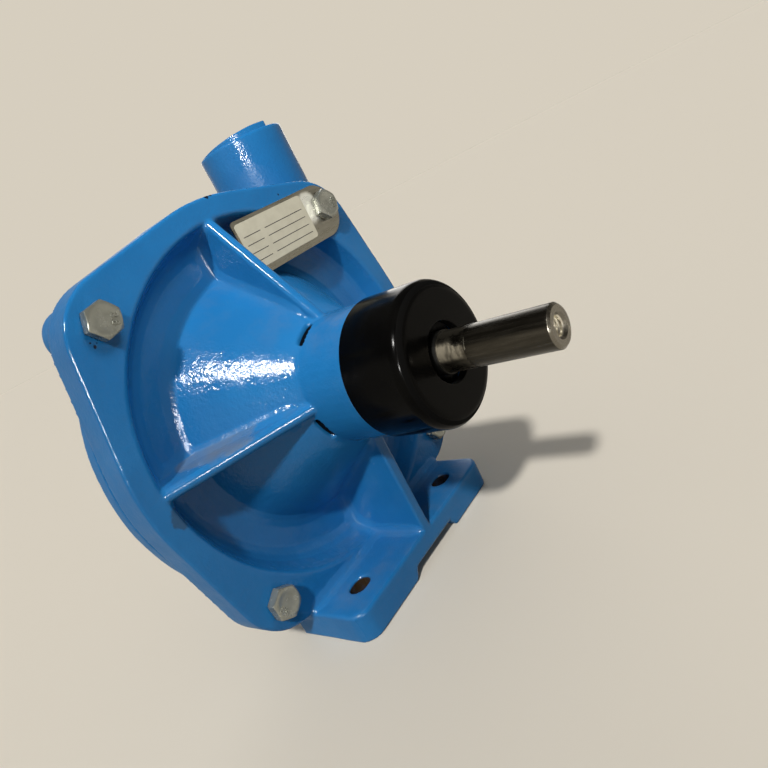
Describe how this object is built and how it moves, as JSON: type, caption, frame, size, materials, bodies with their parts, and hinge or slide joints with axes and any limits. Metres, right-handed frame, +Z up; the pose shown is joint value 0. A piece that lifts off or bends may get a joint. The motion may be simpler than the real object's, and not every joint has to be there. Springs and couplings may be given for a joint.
{
  "type": "centrifugal pump",
  "caption": "Close-built centrifugal pump: blue cast bracket with square flange, ribbed cone and foot, volute casing behind, bare shaft through a black guard cap.",
  "frame": {"origin": "midway between the two foot slots, on the plane that the pump stands on", "axes": "+Z up from the foot, -Y towards the drive end of the shaft, +X to the right as seen by someone who faces the shaft's end"},
  "size_m": [0.1902, 0.2138, 0.213],
  "materials": {
    "blue_enamel": "gloss enamel over cast texture",
    "zinc_plate": "dull zinc plating",
    "plate_metal": "satin sheet metal with a cream printed panel",
    "black_cap": "gloss black moulding",
    "shaft_steel": "dark polished steel",
    "bearing_steel": "ground and polished",
    "spring_steel": "phosphated",
    "seal_rubber": "matt",
    "ceramic": "lapped",
    "carbon": "lapped",
    "stainless": "bright",
    "bare_iron": "as cast with machined faces",
    "plug_steel": "oiled steel"
  },
  "bodies": {
    "housing": {"bearing_bracket": "blue_enamel", "volute_casing": "blue_enamel", "casing_bolts": "zinc_plate", "nameplate": "plate_metal", "shaft_guard": "black_cap", "casing_o_ring": "seal_rubber", "drain_plug": "plug_steel", "vent_plug": "plug_steel", "housing_snap_ring": "spring_steel", "front_bearing_outer_race": "bearing_steel", "front_bearing_shields": "stainless", "rear_bearing_outer_race": "bearing_steel", "rear_bearing_shields": "stainless", "seal_seat": "ceramic", "seal_seat_cup": "seal_rubber"},
    "rotor": {"pump_shaft": "shaft_steel", "shaft_snap_ring": "spring_steel", "front_bearing_inner_race": "bearing_steel", "rear_bearing_inner_race": "bearing_steel", "slinger_ring": "seal_rubber", "seal_face": "carbon", "seal_bellows": "seal_rubber", "seal_shell": "stainless", "seal_spring": "stainless", "seal_spring_seat": "stainless", "impeller": "bare_iron", "impeller_key": "stainless", "impeller_washer": "stainless", "impeller_nut": "stainless"},
    "front_ball_set": {"front_bearing_balls": "bearing_steel", "front_bearing_cage": "stainless"},
    "rear_ball_set": {"rear_bearing_balls": "bearing_steel", "rear_bearing_cage": "stainless"}
  },
  "joints": [
    {"name": "shaft_spin", "type": "hinge", "parent": "housing", "child": "rotor", "pos_m": [0, -0.046, 0.0965], "axis": [0, -1, 0], "continuous": true},
    {"name": "front_balls_orbit", "type": "hinge", "parent": "housing", "child": "front_ball_set", "pos_m": [0, -0.046, 0.0965], "axis": [0, -1, 0], "continuous": true},
    {"name": "rear_balls_orbit", "type": "hinge", "parent": "housing", "child": "rear_ball_set", "pos_m": [0, -0.046, 0.0965], "axis": [0, -1, 0], "continuous": true}
  ],
  "couplings": [
    {"joint": "front_balls_orbit", "follows": "shaft_spin", "ratio": 0.38163},
    {"joint": "rear_balls_orbit", "follows": "shaft_spin", "ratio": 0.38163}
  ]
}
